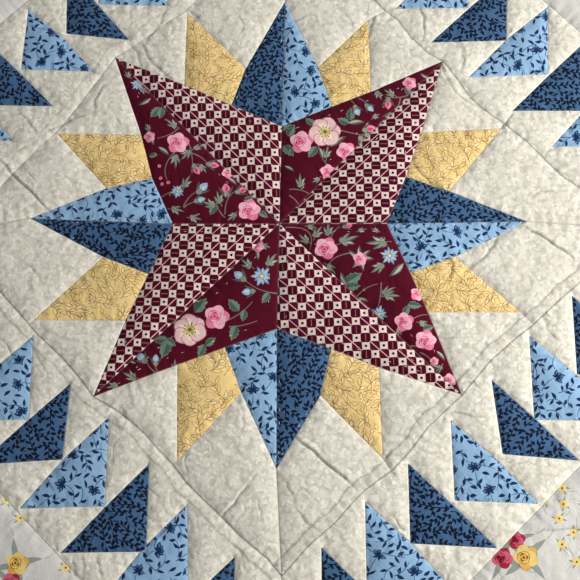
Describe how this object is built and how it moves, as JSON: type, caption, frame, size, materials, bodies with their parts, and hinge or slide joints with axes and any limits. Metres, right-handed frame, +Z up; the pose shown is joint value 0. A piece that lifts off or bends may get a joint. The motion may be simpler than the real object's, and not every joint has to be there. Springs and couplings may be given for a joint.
{
  "type": "quilt panel with star block",
  "caption": "Square cut length of a cotton patchwork quilt lying flat: pieced star block with a compass ring, inside mitred strips of flying geese, padded and quilted.",
  "frame": {"origin": "middle of the underside, below the centre of the star, on the surface that the quilt lies on", "axes": "+Z up out of the pieced face; +Y towards the top of the star; +X to its right, seen face on"},
  "size_m": [0.48, 0.48, 0.0053],
  "materials": {
    "quilt_cotton": "matte pieced cotton, cream ground with burgundy, blue and gold patches"
  },
  "bodies": {
    "root": {"quilt": "quilt_cotton"}
  },
  "joints": []
}
